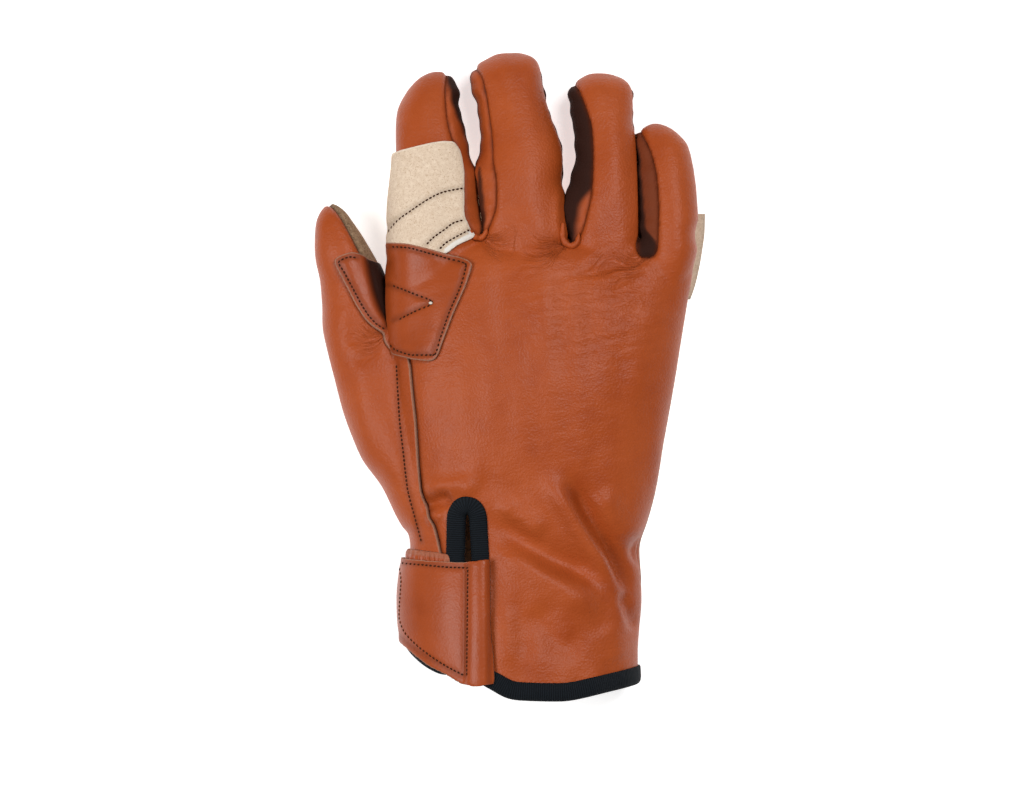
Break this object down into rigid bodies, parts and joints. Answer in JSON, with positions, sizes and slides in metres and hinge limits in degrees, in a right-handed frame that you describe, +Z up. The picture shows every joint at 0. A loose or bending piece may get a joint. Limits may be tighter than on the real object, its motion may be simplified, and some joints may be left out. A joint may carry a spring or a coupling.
{
  "type": "climbing glove",
  "caption": "Full-finger leather climbing glove for the right hand, lying palm down, hollow and open at the cuff, with a wrist strap, suede patches and a bound cuff edge.",
  "frame": {"origin": "middle of the glove's footprint, on the surface that it lies on", "axes": "+Z up through the back of the hand, +Y from the cuff to the fingertips, +X from the thumb to the little finger"},
  "size_m": [0.145, 0.2396, 0.051],
  "materials": {
    "leather": "semi-matte cognac leather with a fine pebble grain",
    "patch_leather": "semi-gloss cognac leather, smoother than the panels",
    "side_strip": "semi-matte cognac leather, darker between the fingers",
    "suede": "matte natural suede",
    "grosgrain": "ribbed black tape"
  },
  "bodies": {
    "root": {"back_panel": "leather", "palm_panel": "leather", "thumb_back": "leather", "thumb_front": "suede", "fourchette_index_middle": "side_strip", "fourchette_middle_ring": "side_strip", "fourchette_ring_little": "side_strip", "index_wrap": "suede", "thumb_patch": "patch_leather", "palm_suede": "suede", "cuff_tape": "grosgrain", "strap_base": "patch_leather", "wrist_strap": "patch_leather"}
  },
  "joints": []
}
